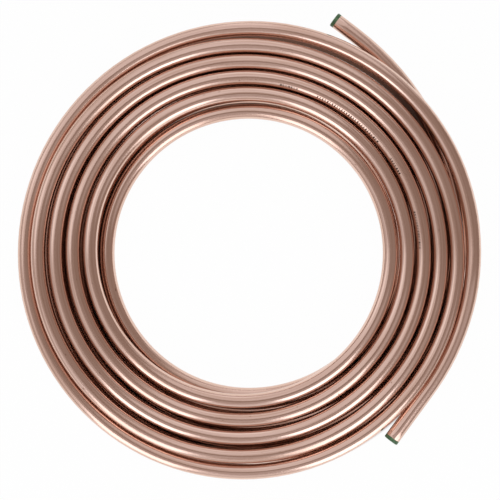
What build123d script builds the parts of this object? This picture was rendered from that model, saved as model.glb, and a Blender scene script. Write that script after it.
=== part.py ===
from build123d import *
from math import radians, sin, sqrt, tan
import os

# Copper tube coil: one soft copper tube, wound in two flat layers, with a push-in plug in each end.
# Millimetres, +Z up. The origin is on the floor, at the middle of the eye of the coil.
# Seen from above, the tube runs clockwise. From its lower free end it winds inwards on the floor,
# climbs half a turn round the eye, and winds outwards on the upper layer to its upper free end.

# Tube
tube_od = 19.05
tube_wall = 1.07

# Eye, the open middle of the coil
eye_radius = 172.5

# Whole turns in each layer, besides the climb and the two ends
turns = 4

# Lower layer
lower_turn_gap = 0.75
entry_angle = 93.5
lower_end_angle = 142.8
lower_lead_easing = 73.5
lower_tail_length = 28.0

# Climb round the eye, a little tighter than the lower layer
layer_gap = 1.0
climb_tightening = 1.4

# Upper layer, whose turns crowd towards the back and open towards the front
upper_turn_gap = 2.65
upper_first_step = 7.0
front_drift = 0.9

# Outermost turn, sprung loose: how far its quarters stray from the even winding
right_to_front_stray = -2.1
front_to_left_stray = -2.5
left_to_back_stray = 2.1

# It slips down beside the turn inside it, passes back over the lower free end, and its last quarter
# brings it round beside its own beginning
slipped_clearance = 0.5
crossing_rise = 1.0
closing_clearance = 1.3

# Upper free end, which droops beside the outermost turn and then runs level
upper_end_angle = 37.8
upper_lead_easing = 13.0
droop_angle = 11.5
droop_lean = 25.0
upper_tail_length = 69.0

# Plugs, whose flanges are as wide as the tube
flange_thickness = 4.8
flange_edge_radius = 1.2
stem_length = 14.0
stem_clearance = 0.1
stem_taper = 0.4
stem_wall = 1.6

# Sizes that follow
bore = tube_od - 2 * tube_wall
lower_pitch = tube_od + lower_turn_gap
upper_pitch = tube_od + upper_turn_gap
lower_height = tube_od / 2
upper_height = lower_height + tube_od + layer_gap
lower_radius = eye_radius + tube_od / 2
climb_radius = lower_radius - climb_tightening
climb_foot = Vector(-lower_radius, 0, lower_height)

up = Vector(0, 0, 1)
down = Vector(0, 0, -1)
to_back = Vector(0, 1, 0)
to_front = Vector(0, -1, 0)


def bend(start, heading, inward, radius, angle):
    """Arc that leaves start along heading and curves towards inward."""
    with BuildLine(Plane(start, x_dir=heading, z_dir=heading.cross(inward))) as arc:
        JernArc((0, 0), (1, 0), radius, angle)
    return arc.edges()[0]


def wind(start, heading, turning, bends):
    """Chain of tangent arcs about the turning direction.

    Each bend is a radius, an angle, and how far its inward side rises for each unit across.
    """
    arcs = []
    for radius, angle, rise in bends:
        level = heading.cross(turning).normalized()
        inward = level * sqrt(1 - rise**2) + up * rise
        arcs.append(bend(start, heading, inward, radius, angle))
        start = arcs[-1] @ 1
        heading = arcs[-1] % 1
    return arcs


def straight(start, heading, length):
    """Straight run that leaves start along heading."""
    with BuildLine() as line:
        Line(start, start + heading * length)
    return line.edges()[0]


def lower_bends():
    """Lower layer from the foot of the climb out to the lower free end."""
    bends = [(lower_radius, 90, 0)]
    half_turns = 2 * turns
    for half_turn in range(half_turns):
        bends.append((lower_radius + (half_turn + 1) * lower_pitch / 2, 180, 0))
    entry_radius = lower_radius + (half_turns + 1) * lower_pitch / 2
    bends.append((entry_radius, entry_angle, 0))
    bends.append((entry_radius + lower_lead_easing, lower_end_angle - entry_angle, 0))
    return bends


def upper_bends():
    """Climb and upper layer, from the foot of the climb out to the upper free end."""
    bends = [(climb_radius, 180, (upper_height - lower_height) / (2 * climb_radius))]

    # Even turns, a quarter at a time, from the right by the front, left and back
    even_growth = upper_pitch / 4
    late_growth = even_growth + front_drift / 2
    growth = (even_growth - front_drift, even_growth, late_growth, late_growth)
    radius = climb_radius + upper_first_step
    for turn in range(turns):
        for step in growth:
            bends.append((radius, 90, 0))
            radius += step

    # Outermost turn, which sags towards the left as far as the turn inside it lets it
    right_to_front = radius + right_to_front_stray
    front_to_left = radius + growth[0] + front_to_left_stray
    left_to_back = radius + sum(growth[:2]) + left_to_back_stray
    back_to_right = right_to_front + front_to_left - left_to_back + tube_od + closing_clearance
    beside = upper_pitch + right_to_front_stray + front_to_left_stray
    sag = sqrt((tube_od + slipped_clearance) ** 2 - beside**2)
    bends.append((right_to_front, 90, -sag / (right_to_front + front_to_left)))
    bends.append((front_to_left, 90, 0))
    bends.append((left_to_back, 90, (sag + crossing_rise) / (left_to_back + back_to_right)))
    bends.append((back_to_right, 90, 0))

    # Lead to the free end: it dips along the first arc, and the second brings it level again
    lead_radius = back_to_right + upper_lead_easing
    levelling_angle = upper_end_angle - droop_angle
    dip = sin(radians(droop_lean))
    slope = dip * sin(radians(droop_angle))
    bends.append((lead_radius, droop_angle, -dip))
    bends.append((lead_radius, levelling_angle, slope / tan(radians(levelling_angle))))
    return bends


# Middle line of the tube
lower_arcs = wind(climb_foot, to_front, down, lower_bends())
upper_arcs = wind(climb_foot, to_back, up, upper_bends())
lower_tail = straight(lower_arcs[-1] @ 1, lower_arcs[-1] % 1, lower_tail_length)
upper_tail = straight(upper_arcs[-1] @ 1, upper_arcs[-1] % 1, upper_tail_length)
lower_end = lower_tail @ 1
lower_outward = lower_tail % 1
upper_end = upper_tail @ 1
upper_outward = upper_tail % 1
middle_line = Wire([lower_tail] + lower_arcs[::-1] + upper_arcs + [upper_tail])

# Tube, swept in one piece along its middle line
with BuildPart() as copper_tube:
    with BuildSketch(Plane(lower_end, z_dir=-lower_outward)):
        Circle(tube_od / 2)
        Circle(bore / 2, mode=Mode.SUBTRACT)
    sweep(path=middle_line)
copper_tube.part.label = "copper_tube"


def plug_profile(mouth):
    """Half section of a plug, on the plane through the tube's axis: x across, y out of the tube."""
    flange_radius = tube_od / 2
    stem_radius = bore / 2 - stem_clearance
    tip_radius = stem_radius - stem_taper
    with BuildSketch(Plane(mouth.origin, x_dir=mouth.x_dir, z_dir=-mouth.y_dir)) as profile:
        with BuildLine():
            Polyline(
                (0, 0),
                (stem_radius - stem_wall, 0),
                (tip_radius - stem_wall, -stem_length),
                (tip_radius, -stem_length),
                (stem_radius, 0),
                (flange_radius, 0),
                (flange_radius, flange_thickness),
                (0, flange_thickness),
                close=True,
            )
        make_face()
    return profile.sketch


# Plugs: a flange face to face on the cut end of the tube, and a hollow tapered stem in its bore
lower_mouth = Plane(lower_end, z_dir=lower_outward)
upper_mouth = Plane(upper_end, z_dir=upper_outward)

with BuildPart() as lower_end_plug:
    add(plug_profile(lower_mouth))
    revolve(axis=Axis(lower_end, lower_outward))
    rim = lower_end_plug.edges().filter_by(GeomType.CIRCLE).sort_by(Axis(lower_end, lower_outward))[-1]
    fillet(rim, flange_edge_radius)
lower_end_plug.part.label = "lower_end_plug"

with BuildPart() as upper_end_plug:
    add(plug_profile(upper_mouth))
    revolve(axis=Axis(upper_end, upper_outward))
    rim = upper_end_plug.edges().filter_by(GeomType.CIRCLE).sort_by(Axis(upper_end, upper_outward))[-1]
    fillet(rim, flange_edge_radius)
upper_end_plug.part.label = "upper_end_plug"

os.makedirs("parts", exist_ok=True)
export_step(copper_tube.part, "parts/copper_tube.step")
export_step(lower_end_plug.part, "parts/lower_end_plug.step")
export_step(upper_end_plug.part, "parts/upper_end_plug.step")
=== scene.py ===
import bpy
from math import atan2, cos, pi, radians, sin, sqrt, tan
from mathutils import Matrix, Vector


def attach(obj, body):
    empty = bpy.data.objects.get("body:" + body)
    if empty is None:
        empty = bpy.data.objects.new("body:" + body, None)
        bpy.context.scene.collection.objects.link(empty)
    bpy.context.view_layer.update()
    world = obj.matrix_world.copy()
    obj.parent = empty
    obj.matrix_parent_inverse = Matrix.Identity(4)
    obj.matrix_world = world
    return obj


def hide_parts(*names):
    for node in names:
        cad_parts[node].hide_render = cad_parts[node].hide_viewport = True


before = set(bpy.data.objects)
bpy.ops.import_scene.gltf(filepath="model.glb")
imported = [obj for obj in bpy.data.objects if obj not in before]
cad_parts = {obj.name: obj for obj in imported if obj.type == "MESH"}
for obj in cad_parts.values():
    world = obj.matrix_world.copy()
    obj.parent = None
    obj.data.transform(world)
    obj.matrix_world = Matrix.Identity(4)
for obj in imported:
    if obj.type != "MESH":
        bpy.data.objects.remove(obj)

mm = 0.001
scene = bpy.context.scene
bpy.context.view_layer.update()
up = Vector((0, 0, 1))
print("frame loaded:", ", ".join(sorted(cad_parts)))


def pickNothing():
    if bpy.context.mode != 'OBJECT':
        bpy.ops.object.mode_set(mode='OBJECT')
    bpy.ops.object.select_all(action='DESELECT')


def pickAll(obj):
    bpy.context.view_layer.objects.active = obj
    bpy.ops.object.mode_set(mode='EDIT')
    bpy.ops.mesh.select_all(action='SELECT')


def pickWhere(obj, wanted):
    # vertices chosen by their place, in world metres
    bpy.ops.object.mode_set(mode='OBJECT')
    vertices = obj.data.vertices
    for vertex in vertices:
        vertex.select = wanted(obj.matrix_world @ vertex.co)
    for edge in obj.data.edges:
        edge.select = all(vertices[i].select for i in edge.vertices)
    for face in obj.data.polygons:
        face.select = all(vertices[i].select for i in face.vertices)
    bpy.ops.object.mode_set(mode='EDIT')


def settle(obj):
    # place, turn and scale go into the mesh
    pickNothing()
    obj.select_set(True)
    bpy.context.view_layer.objects.active = obj
    bpy.ops.object.transform_apply(location=True, rotation=True, scale=True)


# camera, straight above as in the photograph

view = {
    "middle": (1.10, 4.03),     # mm, under the middle of the picture
    "upperLine": 29.6,          # mm from the floor to the upper turns' middle line
    "height": 1588.0,           # mm from that line up to the camera
    "width": 632.9,             # mm across the picture at that line
    "sensor": 36.0,             # mm
    "nearest": 0.05,            # m
    "farthest": 60.0,
}


def placeCamera():
    lens = bpy.data.cameras.new("studioCamera")
    camera = bpy.data.objects.new("studioCamera", lens)
    scene.collection.objects.link(camera)
    lens.sensor_width = view["sensor"]
    lens.lens = view["sensor"] * view["height"] / view["width"]
    lens.clip_start = view["nearest"]
    lens.clip_end = view["farthest"]
    camera.location = Vector((*view["middle"], view["height"] + view["upperLine"])) * mm
    camera.rotation_euler = (0, 0, 0)
    scene.camera = camera
    print("camera set")


placeCamera()


# node helpers

def newMaterial(name):
    material = bpy.data.materials.new(name)
    material.use_nodes = True
    material.node_tree.nodes.clear()
    return material, material.node_tree


def addNode(tree, kind, inputs=None, **settings):
    node = tree.nodes.new(kind)
    for key, value in settings.items():
        setattr(node, key, value)
    for key, value in (inputs or {}).items():
        if hasattr(value, "links"):
            tree.links.new(value, node.inputs[key])
        else:
            node.inputs[key].default_value = value
    return node


def sums(tree, operation, a, b=0.0, c=0.0, clamp=False):
    node = addNode(tree, 'ShaderNodeMath', {0: a, 1: b, 2: c}, operation=operation)
    node.use_clamp = clamp
    return node.outputs[0]


def times(tree, a, b):
    return sums(tree, 'MULTIPLY', a, b)


def ramp(tree, factor, stops):
    node = addNode(tree, 'ShaderNodeValToRGB', {0: factor})
    for element, (place, colour) in zip(node.color_ramp.elements, stops):
        element.position = place
        element.color = (*colour, 1.0)
    return node.outputs[0]


def span(tree, value, lowIn, highIn, lowOut, highOut):
    node = addNode(tree, 'ShaderNodeMapRange', {0: value, 1: lowIn, 2: highIn, 3: lowOut, 4: highOut})
    return node.outputs[0]


def overlay(tree, share, under, colour):
    node = addNode(tree, 'ShaderNodeMix', {0: share, 6: under, 7: (*colour, 1.0)}, data_type='RGBA')
    return node.outputs[2]


# a row of tiny plain strokes in broken groups, along one stretch of the tube

strokes = {
    "colour": (0.030, 0.018, 0.014),
    "strength": 0.95,
    "start": 2.790,         # m along the tube from the foot of the climb
    "end": 3.150,
    "around": 0.606,        # share of the way round from the underside
    "height": 2.7,          # mm
    "pitch": 3.6,           # mm
    "shortest": 0.25,       # share of the pitch
    "spread": 0.35,         # added to the shortest, at most
    "inGroup": 7.0,
    "groupsLeftOut": 0.22,  # share of the groups
}


def chance(tree, count):
    # a random share that stays the same within each whole count
    noise = addNode(tree, 'ShaderNodeTexWhiteNoise', {"W": sums(tree, 'FLOOR', count)}, noise_dimensions='1D')
    return noise.outputs[0]


def inkShare(tree, along, around, girth):
    beat = sums(tree, 'DIVIDE', along, strokes["pitch"] * mm)
    group = sums(tree, 'DIVIDE', beat, strokes["inGroup"])
    length = sums(tree, 'MULTIPLY_ADD', chance(tree, beat), strokes["spread"], strokes["shortest"])
    inked = sums(tree, 'LESS_THAN', sums(tree, 'FRACT', beat), length)
    inked = times(tree, inked, sums(tree, 'GREATER_THAN', chance(tree, group), strokes["groupsLeftOut"]))
    aside = sums(tree, 'ABSOLUTE', sums(tree, 'SUBTRACT', around, strokes["around"]))
    inRow = sums(tree, 'LESS_THAN', aside, strokes["height"] / 2 / girth)
    inRow = times(tree, inRow, sums(tree, 'GREATER_THAN', along, strokes["start"]))
    inRow = times(tree, inRow, sums(tree, 'LESS_THAN', along, strokes["end"]))
    return times(tree, times(tree, inked, inRow), strokes["strength"])


# copper, as drawn and coiled

copper = {
    "bright": (0.815, 0.582, 0.488),
    "worn": (0.680, 0.455, 0.360),
    "toneStops": (0.38, 0.55),     # tone that is still worn, and from which it is bright
    "streakShare": 0.55,           # of the tone, and the haze has the rest
    "roughLow": 0.13,
    "roughHigh": 0.22,
    "roughTones": (0.35, 0.65),    # tone at the roughest and at the smoothest
    # noises: waves a metre along the tube, waves a metre around it, detail, roughness
    "streak": (3.0, 420.0, 3.0, 0.6),      # draw lines, long and fine
    "haze": (9.0, 70.0, 3.0, 0.5),         # from handling
    "fleck": (160.0, 320.0, 2.0, 0.5),     # small dark stains
    "streakDepth": 0.130,          # mm
    "ripple": 2.2,                 # mm from one ripple to the next
    "rippleAround": 60.0,
    "rippleDepth": 0.012,          # mm
    "stain": (0.330, 0.170, 0.110),
    "stainStarts": (0.735, 0.760),     # fleck noise at a stain's edge and in its middle
    "stainStrength": 0.8,
    "tubeAround": 59.85,           # mm round the tube
}


def makeCopper():
    material, tree = newMaterial("drawnCopper")
    uv = addNode(tree, 'ShaderNodeUVMap', uv_map="alongAndAround")
    parts = addNode(tree, 'ShaderNodeSeparateXYZ', {0: uv.outputs[0]})
    along, around = parts.outputs[0], parts.outputs[1]      # metres along the tube, turns round it
    turn = times(tree, around, 2 * pi)
    radius = copper["tubeAround"] * mm / (2 * pi)
    across = times(tree, sums(tree, 'SINE', turn), radius)
    height = times(tree, sums(tree, 'COSINE', turn), radius)

    def skinNoise(alongScale, aroundScale, detail, roughness):
        # noise that runs on round the tube without a seam
        place = addNode(tree, 'ShaderNodeCombineXYZ', {
            0: times(tree, along, alongScale),
            1: times(tree, across, aroundScale),
            2: times(tree, height, aroundScale)})
        noise = addNode(tree, 'ShaderNodeTexNoise', {
            "Vector": place.outputs[0], "Scale": 1.0, "Detail": detail, "Roughness": roughness})
        return noise.outputs[0]

    streak = skinNoise(*copper["streak"])
    haze = skinNoise(*copper["haze"])
    fleck = skinNoise(*copper["fleck"])
    ripple = skinNoise(1 / (copper["ripple"] * mm), copper["rippleAround"], 1.0, 0.5)

    tone = sums(tree, 'ADD', times(tree, streak, copper["streakShare"]),
                times(tree, haze, 1 - copper["streakShare"]))
    colour = ramp(tree, tone, zip(copper["toneStops"], (copper["worn"], copper["bright"])))
    stained = span(tree, fleck, *copper["stainStarts"], 0.0, copper["stainStrength"])
    colour = overlay(tree, stained, colour, copper["stain"])
    colour = overlay(tree, inkShare(tree, along, around, copper["tubeAround"]), colour, strokes["colour"])

    rough = span(tree, tone, *copper["roughTones"], copper["roughHigh"], copper["roughLow"])
    relief = sums(tree, 'ADD', times(tree, ripple, copper["rippleDepth"]),
                  times(tree, streak, copper["streakDepth"]))
    bump = addNode(tree, 'ShaderNodeBump', {"Strength": 1.0, "Distance": mm, "Height": relief})
    shader = addNode(tree, 'ShaderNodeBsdfPrincipled', {
        "Base Color": colour, "Metallic": 1.0, "Roughness": rough, "Normal": bump.outputs[0]})
    addNode(tree, 'ShaderNodeOutputMaterial', {0: shader.outputs[0]})
    return material


# dark green plastic of the plugs

plastic = {
    "dark": (0.055, 0.135, 0.055),
    "pale": (0.130, 0.260, 0.125),
    "flowStops": (0.40, 0.72),     # flow noise where it is still dark, and from which it is pale
    "flow": 180.0,                 # waves a metre
    "grain": 1400.0,
    "grainDepth": 0.010,           # mm
    "grainRange": (0.3, 0.7),      # grain noise at the smoothest and at the roughest
    "roughLow": 0.36,
    "roughHigh": 0.52,
}


def makePlastic():
    material, tree = newMaterial("plugPlastic")
    place = addNode(tree, 'ShaderNodeTexCoord').outputs["Object"]
    flow = addNode(tree, 'ShaderNodeTexNoise', {"Vector": place, "Scale": plastic["flow"], "Detail": 3.0})
    grain = addNode(tree, 'ShaderNodeTexNoise', {"Vector": place, "Scale": plastic["grain"], "Detail": 2.0})
    colour = ramp(tree, flow.outputs[0], zip(plastic["flowStops"], (plastic["dark"], plastic["pale"])))
    rough = span(tree, grain.outputs[0], *plastic["grainRange"], plastic["roughLow"], plastic["roughHigh"])
    relief = times(tree, grain.outputs[0], plastic["grainDepth"])
    bump = addNode(tree, 'ShaderNodeBump', {"Strength": 1.0, "Distance": mm, "Height": relief})
    shader = addNode(tree, 'ShaderNodeBsdfPrincipled', {
        "Base Color": colour, "Roughness": rough, "Normal": bump.outputs[0]})
    addNode(tree, 'ShaderNodeOutputMaterial', {0: shader.outputs[0]})
    return material


# the tube and its route: the same bends as the part, in millimetres and degrees

coil = {
    "tubeDiameter": 19.05,
    "tubeWall": 1.07,
    "eyeRadius": 172.5,
    "turns": 4,
    "lowerTurnGap": 0.75,
    "entryAngle": 93.5,
    "lowerEndAngle": 142.8,
    "lowerLeadEasing": 73.5,
    "lowerTail": 28.0,
    "layerGap": 1.0,
    "climbTightening": 1.4,
    "upperTurnGap": 2.65,
    "upperFirstStep": 7.0,
    "frontDrift": 0.9,
    "looseStrays": (-2.1, -2.5, 2.1),
    "slippedClearance": 0.5,
    "crossingRise": 1.0,
    "closingClearance": 1.3,
    "upperEndAngle": 37.8,
    "upperLeadEasing": 13.0,
    "droopAngle": 11.5,
    "droopLean": 25.0,
    "upperTail": 69.0,
    "sides": 32,            # round the tube
    "ringStep": 3.0,        # of bend from ring to ring
    "tailStep": 12.0,       # from ring to ring along the straight ends
    "ringReach": 0.6,       # tube widths from a ring's middle that take in its vertices
    "footDepth": 0.01,      # along the tube, for picking the first ring only
    "rimDepth": 0.30,       # along the tube, for picking a cut end's edges
    "rimRound": 0.25,       # the cut ends' edges
    "wander": 0.10,         # that the skin strays from round
    "wanderLength": 0.055,  # m, from one stray to the next
    "smoothBelow": 38.0,    # edges flatter than this are shaded smooth
}


def lowerBends():
    # radius, angle and rise of the inward side, from the foot of the climb outwards on the floor
    radius = coil["eyeRadius"] + coil["tubeDiameter"] / 2
    pitch = coil["tubeDiameter"] + coil["lowerTurnGap"]
    halves = 2 * coil["turns"]
    bends = [(radius, 90, 0)]
    bends += [(radius + (half + 1) * pitch / 2, 180, 0) for half in range(halves)]
    entry = radius + (halves + 1) * pitch / 2
    bends.append((entry, coil["entryAngle"], 0))
    bends.append((entry + coil["lowerLeadEasing"], coil["lowerEndAngle"] - coil["entryAngle"], 0))
    return bends


def upperBends():
    # the climb, the even turns, the loose outermost turn and the drooping lead
    tube = coil["tubeDiameter"]
    radius = coil["eyeRadius"] + tube / 2 - coil["climbTightening"]
    pitch = tube + coil["upperTurnGap"]
    bends = [(radius, 180, (tube + coil["layerGap"]) / (2 * radius))]
    even = pitch / 4
    late = even + coil["frontDrift"] / 2
    growth = (even - coil["frontDrift"], even, late, late)      # of the four quarters of a turn
    radius += coil["upperFirstStep"]
    for turn in range(coil["turns"]):
        for step in growth:
            bends.append((radius, 90, 0))
            radius += step

    strays = coil["looseStrays"]
    first = radius + strays[0]
    second = radius + growth[0] + strays[1]
    third = radius + sum(growth[:2]) + strays[2]
    fourth = first + second - third + tube + coil["closingClearance"]
    beside = pitch + strays[0] + strays[1]
    sag = sqrt((tube + coil["slippedClearance"]) ** 2 - beside ** 2)
    bends.append((first, 90, -sag / (first + second)))
    bends.append((second, 90, 0))
    bends.append((third, 90, (sag + coil["crossingRise"]) / (third + fourth)))
    bends.append((fourth, 90, 0))

    lead = fourth + coil["upperLeadEasing"]
    levelling = coil["upperEndAngle"] - coil["droopAngle"]
    dip = sin(radians(coil["droopLean"]))
    slope = dip * sin(radians(coil["droopAngle"]))
    bends.append((lead, coil["droopAngle"], -dip))
    bends.append((lead, levelling, slope / tan(radians(levelling))))
    return bends


def spinAlong(start, heading, turning, bends, tail, sense, rings):
    # spins the picked ring round each bend, then pulls it straight out to the end,
    # and notes each ring's length along, middle and heading
    reach = 0.0
    for radius, angle, rise in bends:
        level = heading.cross(turning).normalized()
        inward = level * sqrt(1 - rise ** 2) + up * rise
        centre = start + inward * radius
        axle = inward.cross(heading)               # the spin tool turns the other way round its axis
        swept = radians(angle)
        steps = max(2, round(angle / coil["ringStep"]))
        bpy.ops.mesh.spin(steps=steps, angle=swept, center=centre * mm, axis=axle)
        for step in range(1, steps + 1):
            swing = Matrix.Rotation(swept * step / steps, 3, heading.cross(inward))
            rings.append((sense * (reach + swept * radius * step / steps),
                          centre - swing @ inward * radius, swing @ heading * sense))
        reach += swept * radius
        start, heading = rings[-1][1], rings[-1][2] * sense
    stretches = max(2, round(tail / coil["tailStep"]))
    for step in range(1, stretches + 1):
        bpy.ops.mesh.extrude_region_move(TRANSFORM_OT_translate={"value": heading * tail / stretches * mm})
        done = tail * step / stretches
        rings.append((sense * (reach + done), start + heading * done, heading * sense))
    return start + heading * tail, heading


def pickRings(obj, middle, heading, depth):
    # rings that lie within this depth of the middle, along the heading
    near = coil["tubeDiameter"] * coil["ringReach"]

    def wanted(place):
        away = place / mm - middle
        return away.length < near and abs(away.dot(heading)) < depth

    pickWhere(obj, wanted)


def unwrapTube(obj, rings):
    # length along and place around go into the UV map, with the seam underneath
    sides = coil["sides"]
    marks = []
    for i, vertex in enumerate(obj.data.vertices):
        along, middle, heading = rings[i // sides]
        out = vertex.co / mm - middle
        across = heading.cross(up).normalized()
        around = atan2(out.dot(across), out.dot(across.cross(heading))) / (2 * pi) + 0.5
        marks.append((along * mm, around))
    layer = obj.data.uv_layers.new(name="alongAndAround")
    for face in obj.data.polygons:
        corners = [marks[obj.data.loops[i].vertex_index] for i in face.loop_indices]
        top = max(around for along, around in corners)
        for i, (along, around) in zip(face.loop_indices, corners):
            layer.data[i].uv = (along, around + 1.0 if top - around > 0.5 else around)


def makeTube():
    tube = coil["tubeDiameter"]
    foot = Vector((-coil["eyeRadius"] - tube / 2, 0, tube / 2))
    forward = Vector((0, 1, 0))
    pickNothing()
    bpy.ops.mesh.primitive_circle_add(vertices=coil["sides"], radius=tube / 2 * mm, fill_type='NOTHING',
                                      location=foot * mm, rotation=(pi / 2, 0, 0))
    obj = bpy.context.object
    obj.name = "coiledTube"
    settle(obj)
    rings = [(0.0, foot, forward)]

    pickAll(obj)
    upperEnd = spinAlong(foot, forward, up, upperBends(), coil["upperTail"], 1, rings)
    pickRings(obj, foot, forward, coil["footDepth"])
    lowerEnd = spinAlong(foot, -forward, -up, lowerBends(), coil["lowerTail"], -1, rings)
    bpy.ops.object.mode_set(mode='OBJECT')
    print("tube spun:", len(rings), "rings,", len(obj.data.vertices), "vertices")
    unwrapTube(obj, rings)

    # a little out of round, as bent tube is
    pickAll(obj)
    bpy.ops.mesh.normals_make_consistent(inside=False)
    bpy.ops.object.mode_set(mode='OBJECT')
    unevenness = bpy.data.textures.new("unevenness", 'CLOUDS')
    unevenness.noise_scale = coil["wanderLength"]
    unevenness.noise_depth = 1
    wander = obj.modifiers.new("wander", 'DISPLACE')
    wander.texture = unevenness
    wander.texture_coords = 'LOCAL'
    wander.mid_level = 0.5
    wander.strength = coil["wander"] * 2 * mm
    bpy.ops.object.modifier_apply(modifier=wander.name)

    wall = obj.modifiers.new("wall", 'SOLIDIFY')
    wall.thickness = coil["tubeWall"] * mm
    wall.offset = -1.0
    wall.use_even_offset = True
    bpy.ops.object.modifier_apply(modifier=wall.name)

    # the rims of both cut ends are eased
    for end, heading in (upperEnd, lowerEnd):
        pickRings(obj, end, heading, coil["rimDepth"])
        bpy.ops.mesh.bevel(offset=coil["rimRound"] * mm, segments=2, affect='EDGES')
    bpy.ops.object.mode_set(mode='OBJECT')
    bpy.ops.object.shade_smooth_by_angle(angle=radians(coil["smoothBelow"]))
    obj.data.materials.append(makeCopper())
    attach(obj, "root")
    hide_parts("copper_tube")
    print("tube finished:", len(obj.data.polygons), "faces")
    return upperEnd, lowerEnd


upperEnd, lowerEnd = makeTube()


# push-in plugs, in millimetres

plug = {
    "flange": 4.8,              # thick
    "rimRound": 1.2,
    "rimSteps": 5,
    "dishRadius": 6.6,
    "dishDepth": 0.7,
    "dishEdge": 0.6,            # width of the dish's sloping edge
    "dishFall": 0.1,            # deeper still at the gate nub
    "gateRadius": 1.5,
    "gateSteps": ((1.2, 0.35), (0.7, 0.05)),    # radius and rise up the nub
    "stemLength": 14.0,
    "stemClearance": 0.1,
    "stemTaper": 0.4,
    "stemWall": 1.6,
    "hollowCorner": (0.8, 0.6),     # inwards and up, at the hollow's closed end
    "ribs": 3,
    "ribHeight": 0.06,
    "ribStep": 0.4,             # its rise, its top and its fall are each this long
    "stemRoot": 2.0,            # plain length under the flange
    "tipDepth": 0.01,           # along the stem, for picking the ring at its tip only
    "sides": 64,
    "mergeWithin": 0.001,
    "smoothBelow": 32.0,        # degrees
}


def grow(fromRadius, toRadius, rise):
    # pulls the picked ring up or down to its next radius
    bpy.ops.mesh.extrude_region_move(TRANSFORM_OT_translate={"value": (0, 0, rise * mm)})
    bpy.ops.transform.resize(value=(toRadius / fromRadius, toRadius / fromRadius, 1),
                             center_override=(0, 0, 0))
    return toRadius


def growStem(at, stem):
    # low gripping ribs up the taper, then the plain root
    ribStep = plug["ribStep"]
    pitch = (plug["stemLength"] - plug["stemRoot"]) / plug["ribs"]
    plain = pitch - 3 * ribStep
    slope = plug["stemTaper"] / plug["stemLength"]
    for rib in range(plug["ribs"]):
        at = grow(at, at + slope * plain, plain)
        at = grow(at, at + plug["ribHeight"], ribStep)
        at = grow(at, at, ribStep)
        at = grow(at, at - plug["ribHeight"] + slope * 3 * ribStep, ribStep)
    return grow(at, stem, plug["stemRoot"])


def growFlange(at, radius):
    at = grow(at, radius, 0)                                   # seat on the cut end
    at = grow(at, radius, plug["flange"] - plug["rimRound"])
    last = 0.0
    for step in range(1, plug["rimSteps"] + 1):                # rounded rim
        turn = radians(90 * step / plug["rimSteps"])
        at = grow(at, radius - plug["rimRound"] * (1 - cos(turn)), plug["rimRound"] * (sin(turn) - sin(last)))
        last = turn
    at = grow(at, plug["dishRadius"] + plug["dishEdge"], 0)
    at = grow(at, plug["dishRadius"], -plug["dishDepth"])      # shallow dish
    at = grow(at, plug["gateRadius"], -plug["dishFall"])
    for toRadius, rise in plug["gateSteps"]:
        at = grow(at, toRadius, rise)
    bpy.ops.mesh.fill()


def makePlug(name, node, mouth, outward, material):
    # upright at the origin first, with the tube's mouth at z = 0 and the flange above
    radius = coil["tubeDiameter"] / 2
    stem = radius - coil["tubeWall"] - plug["stemClearance"]
    inner = stem - plug["stemTaper"] - plug["stemWall"]
    tip = -plug["stemLength"] * mm
    pickNothing()
    bpy.ops.mesh.primitive_circle_add(vertices=plug["sides"], radius=inner * mm, fill_type='NOTHING',
                                      location=(0, 0, tip))
    obj = bpy.context.object
    obj.name = name
    settle(obj)
    pickAll(obj)
    at = grow(inner, inner + plug["stemWall"], 0)
    at = growStem(at, stem)
    growFlange(at, radius)

    # the hollow of the stem, from its inner edge at the tip
    middle = (inner + plug["stemWall"] / 2) * mm
    depth = plug["tipDepth"] * mm
    pickWhere(obj, lambda place: abs(place.z - tip) < depth and place.xy.length < middle)
    inwards, upwards = plug["hollowCorner"]
    at = grow(inner, inner + plug["stemTaper"], plug["stemLength"])
    grow(at, at - inwards, upwards)
    bpy.ops.mesh.fill()
    bpy.ops.mesh.select_all(action='SELECT')
    bpy.ops.mesh.remove_doubles(threshold=plug["mergeWithin"] * mm)
    bpy.ops.mesh.normals_make_consistent(inside=False)
    bpy.ops.object.mode_set(mode='OBJECT')
    bpy.ops.object.shade_smooth_by_angle(angle=radians(plug["smoothBelow"]))

    # into the tube's end
    turned = up.rotation_difference(outward).to_matrix().to_4x4()
    obj.matrix_world = Matrix.Translation(mouth * mm) @ turned
    settle(obj)
    obj.data.materials.append(material)
    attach(obj, "root")
    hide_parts(node)
    print("plug made:", name)


greenPlastic = makePlastic()
makePlug("upperPlug", "upper_end_plug", *upperEnd, greenPlastic)
makePlug("lowerPlug", "lower_end_plug", *lowerEnd, greenPlastic)


# studio: a white floor with a ring of painted shade under the coil, a dim room round it,
# one broad soft box at the back left, four broad dim fills and two low bright lamps at the front

studio = {
    "floorSize": 80.0,              # m, out to the horizon of a low view
    "floorDrop": 0.2,               # mm under the coil, so that their faces don't coincide
    "floorColour": (0.90, 0.90, 0.90),
    "floorGlow": 0.98,              # share of plain white in the open floor, as seen and as mirrored
    "paintedShadeUnderCoil": (0.34, 0.22, 0.17),    # painted shade: a dark brown floor colour under the coil, seen between the turns and at its foot
    "paintedShadeRing": (0.182, 0.286),     # m, radii of the ring of floor under the coil that is painted dark as shade
    "footEdge": 0.002,              # m, half the width of that ring's soft edges
    "roomColour": (0.325, 0.264, 0.238),
    "lampColour": (0.93, 1.00, 1.08),
}

# direction in degrees from the right, anticlockwise seen from above; lean in degrees from straight up;
# distance, width and height in metres; level is the brightness of the lamp's face, where 1 is white,
# and an ellipse, which is smaller than its box, is brighter by 4/pi

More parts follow.
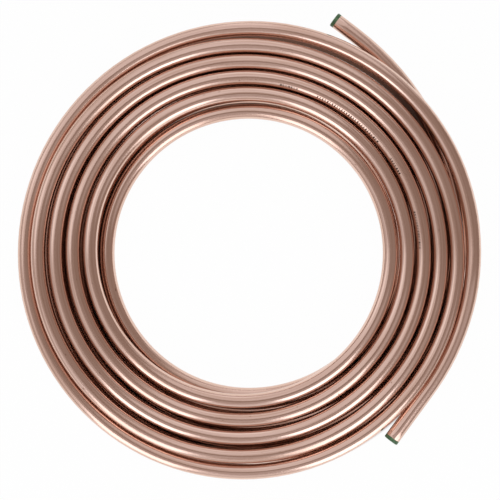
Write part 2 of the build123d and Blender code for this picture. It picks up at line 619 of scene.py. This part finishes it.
lamps = {
    "softBox": {"direction": 118, "lean": 45, "distance": 4.5,
                "width": 9.4, "height": 6.8, "level": 0.38, "shape": 'ELLIPSE'},
    "leftFill": {"direction": 192, "lean": 60, "distance": 3.4,
                 "width": 4.4, "height": 3.2, "level": 0.25, "shape": 'RECTANGLE'},
    "backFill": {"direction": 70, "lean": 73, "distance": 3.4,
                 "width": 3.6, "height": 1.7, "level": 0.24, "shape": 'RECTANGLE'},
    "frontFill": {"direction": 268, "lean": 44, "distance": 3.4,
                  "width": 8.0, "height": 5.0, "level": 0.19, "shape": 'RECTANGLE'},
    "lowFill": {"direction": 266, "lean": 70, "distance": 2.9,
                "width": 4.6, "height": 1.9, "level": 0.26, "shape": 'RECTANGLE'},
    "lowLampLeft": {"direction": 240, "lean": 64, "distance": 2.2,
                    "width": 1.0, "height": 2.0, "level": 1.30, "shape": 'RECTANGLE'},
    "lowLampRight": {"direction": 300, "lean": 63, "distance": 2.2,
                     "width": 1.1, "height": 2.0, "level": 1.48, "shape": 'RECTANGLE'},
}


def makeFloor():
    pickNothing()
    bpy.ops.mesh.primitive_plane_add(size=studio["floorSize"], location=(0, 0, -studio["floorDrop"] * mm))
    floor = bpy.context.object
    floor.name = "floor"
    material, tree = newMaterial("paleFloor")

    place = addNode(tree, 'ShaderNodeTexCoord').outputs["Object"]
    reach = addNode(tree, 'ShaderNodeVectorMath', {0: place}, operation='LENGTH').outputs["Value"]
    # painted shade: the ring of floor under the coil gets a dark brown colour and no white glow, standing in
    # for the shadow between and under the turns
    inner, outer = studio["paintedShadeRing"]
    edge = studio["footEdge"]
    inEye = span(tree, reach, inner - edge, inner + edge, 1.0, 0.0)
    openFloor = sums(tree, 'ADD', inEye, span(tree, reach, outer - edge, outer + edge, 0.0, 1.0))
    tone = ramp(tree, openFloor, ((0.0, studio["paintedShadeUnderCoil"]), (1.0, studio["floorColour"])))
    paper = addNode(tree, 'ShaderNodeBsdfDiffuse', {"Color": tone})

    # the open floor is white where it is looked at, straight or in the copper
    rays = addNode(tree, 'ShaderNodeLightPath')
    looks = sums(tree, 'ADD', rays.outputs["Is Camera Ray"], rays.outputs["Is Glossy Ray"])
    looks = sums(tree, 'ADD', looks, rays.outputs["Is Transmission Ray"], clamp=True)
    seen = times(tree, looks, times(tree, openFloor, studio["floorGlow"]))
    glow = addNode(tree, 'ShaderNodeEmission', {"Color": (1.0, 1.0, 1.0, 1.0), "Strength": 1.0})
    mixed = addNode(tree, 'ShaderNodeMixShader', {0: seen, 1: paper.outputs[0], 2: glow.outputs[0]})
    addNode(tree, 'ShaderNodeOutputMaterial', {0: mixed.outputs[0]})
    floor.data.materials.append(material)


def makeRoom():
    world = bpy.data.worlds.new("studioWorld")
    world.use_nodes = True
    scene.world = world
    tree = world.node_tree
    tree.nodes.clear()
    room = addNode(tree, 'ShaderNodeBackground', {"Color": (*studio["roomColour"], 1.0), "Strength": 1.0})
    addNode(tree, 'ShaderNodeOutputWorld', {0: room.outputs[0]})


def hangLamp(name, direction, lean, distance, width, height, level, shape):
    light = bpy.data.lights.new(name, 'AREA')
    light.shape = shape
    light.color = studio["lampColour"]
    light.size = width
    light.size_y = height
    light.energy = level * pi * width * height
    lamp = bpy.data.objects.new(name, light)
    scene.collection.objects.link(lamp)
    turn, tilt = radians(direction), radians(lean)
    toLamp = Vector((sin(tilt) * cos(turn), sin(tilt) * sin(turn), cos(tilt)))
    lamp.location = toLamp * distance
    lamp.rotation_euler = toLamp.to_track_quat('Z', 'Y').to_euler()
    lamp.visible_camera = False


makeFloor()
makeRoom()
for name, settings in lamps.items():
    hangLamp(name, **settings)
scene.view_settings.view_transform = 'Standard'
print("studio lit")
